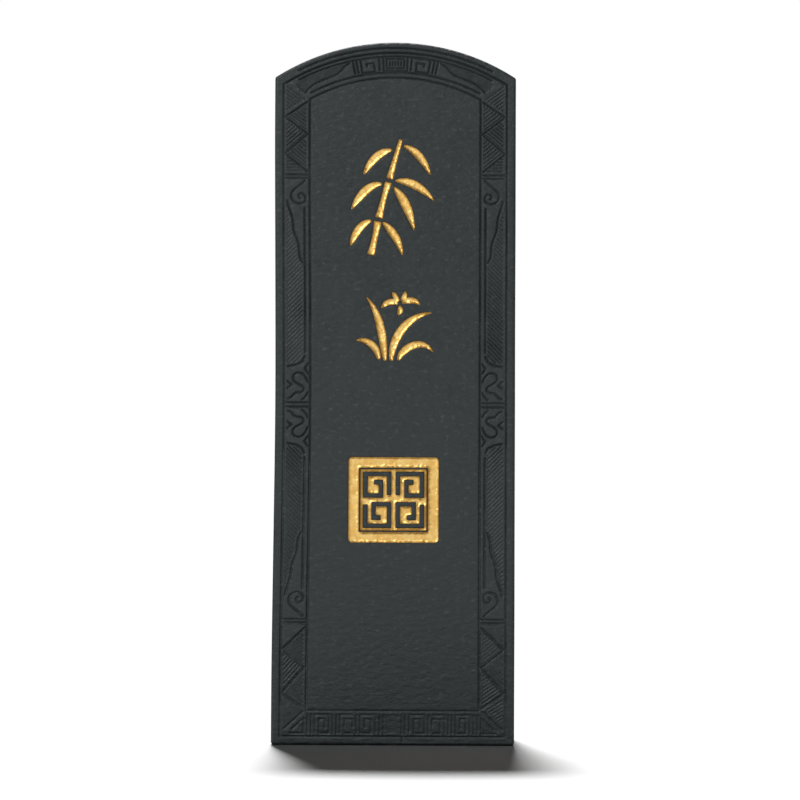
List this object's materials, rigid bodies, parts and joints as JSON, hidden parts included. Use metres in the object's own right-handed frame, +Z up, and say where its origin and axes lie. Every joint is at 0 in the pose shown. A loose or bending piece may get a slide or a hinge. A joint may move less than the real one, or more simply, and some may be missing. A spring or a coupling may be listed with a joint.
{
  "type": "ink stick",
  "caption": "Solid ink stick: a flat moulded bar with an arched head, an engraved border round a plain panel, and gilt sprigs over a square gilt fret seal.",
  "frame": {"origin": "middle of the flat grinding end that the stick stands on", "axes": "+Z up the stick's length to the arched head, -Y out of the engraved and gilded front face, +X to the right seen from the front"},
  "size_m": [0.0392, 0.013, 0.114],
  "materials": {
    "ink": "matt moulded ink cake, slightly sheeny on the worn rim",
    "gold_paint": "soft satin gold paint, brushed into the recess"
  },
  "bodies": {
    "root": {"ink_body": "ink", "gilt_bamboo_stem_1": "gold_paint", "gilt_bamboo_stem_2": "gold_paint", "gilt_bamboo_stem_3": "gold_paint", "gilt_bamboo_leaf_1": "gold_paint", "gilt_bamboo_leaf_2": "gold_paint", "gilt_bamboo_leaf_3": "gold_paint", "gilt_bamboo_leaf_4": "gold_paint", "gilt_bamboo_leaf_5": "gold_paint", "gilt_bamboo_leaf_6": "gold_paint", "gilt_bamboo_leaf_7": "gold_paint", "gilt_orchid_leaf_1": "gold_paint", "gilt_orchid_leaf_2": "gold_paint", "gilt_orchid_leaf_3": "gold_paint", "gilt_orchid_leaf_4": "gold_paint", "gilt_orchid_flower": "gold_paint", "gilt_seal_frame": "gold_paint", "gilt_seal_field": "gold_paint"}
  },
  "joints": []
}
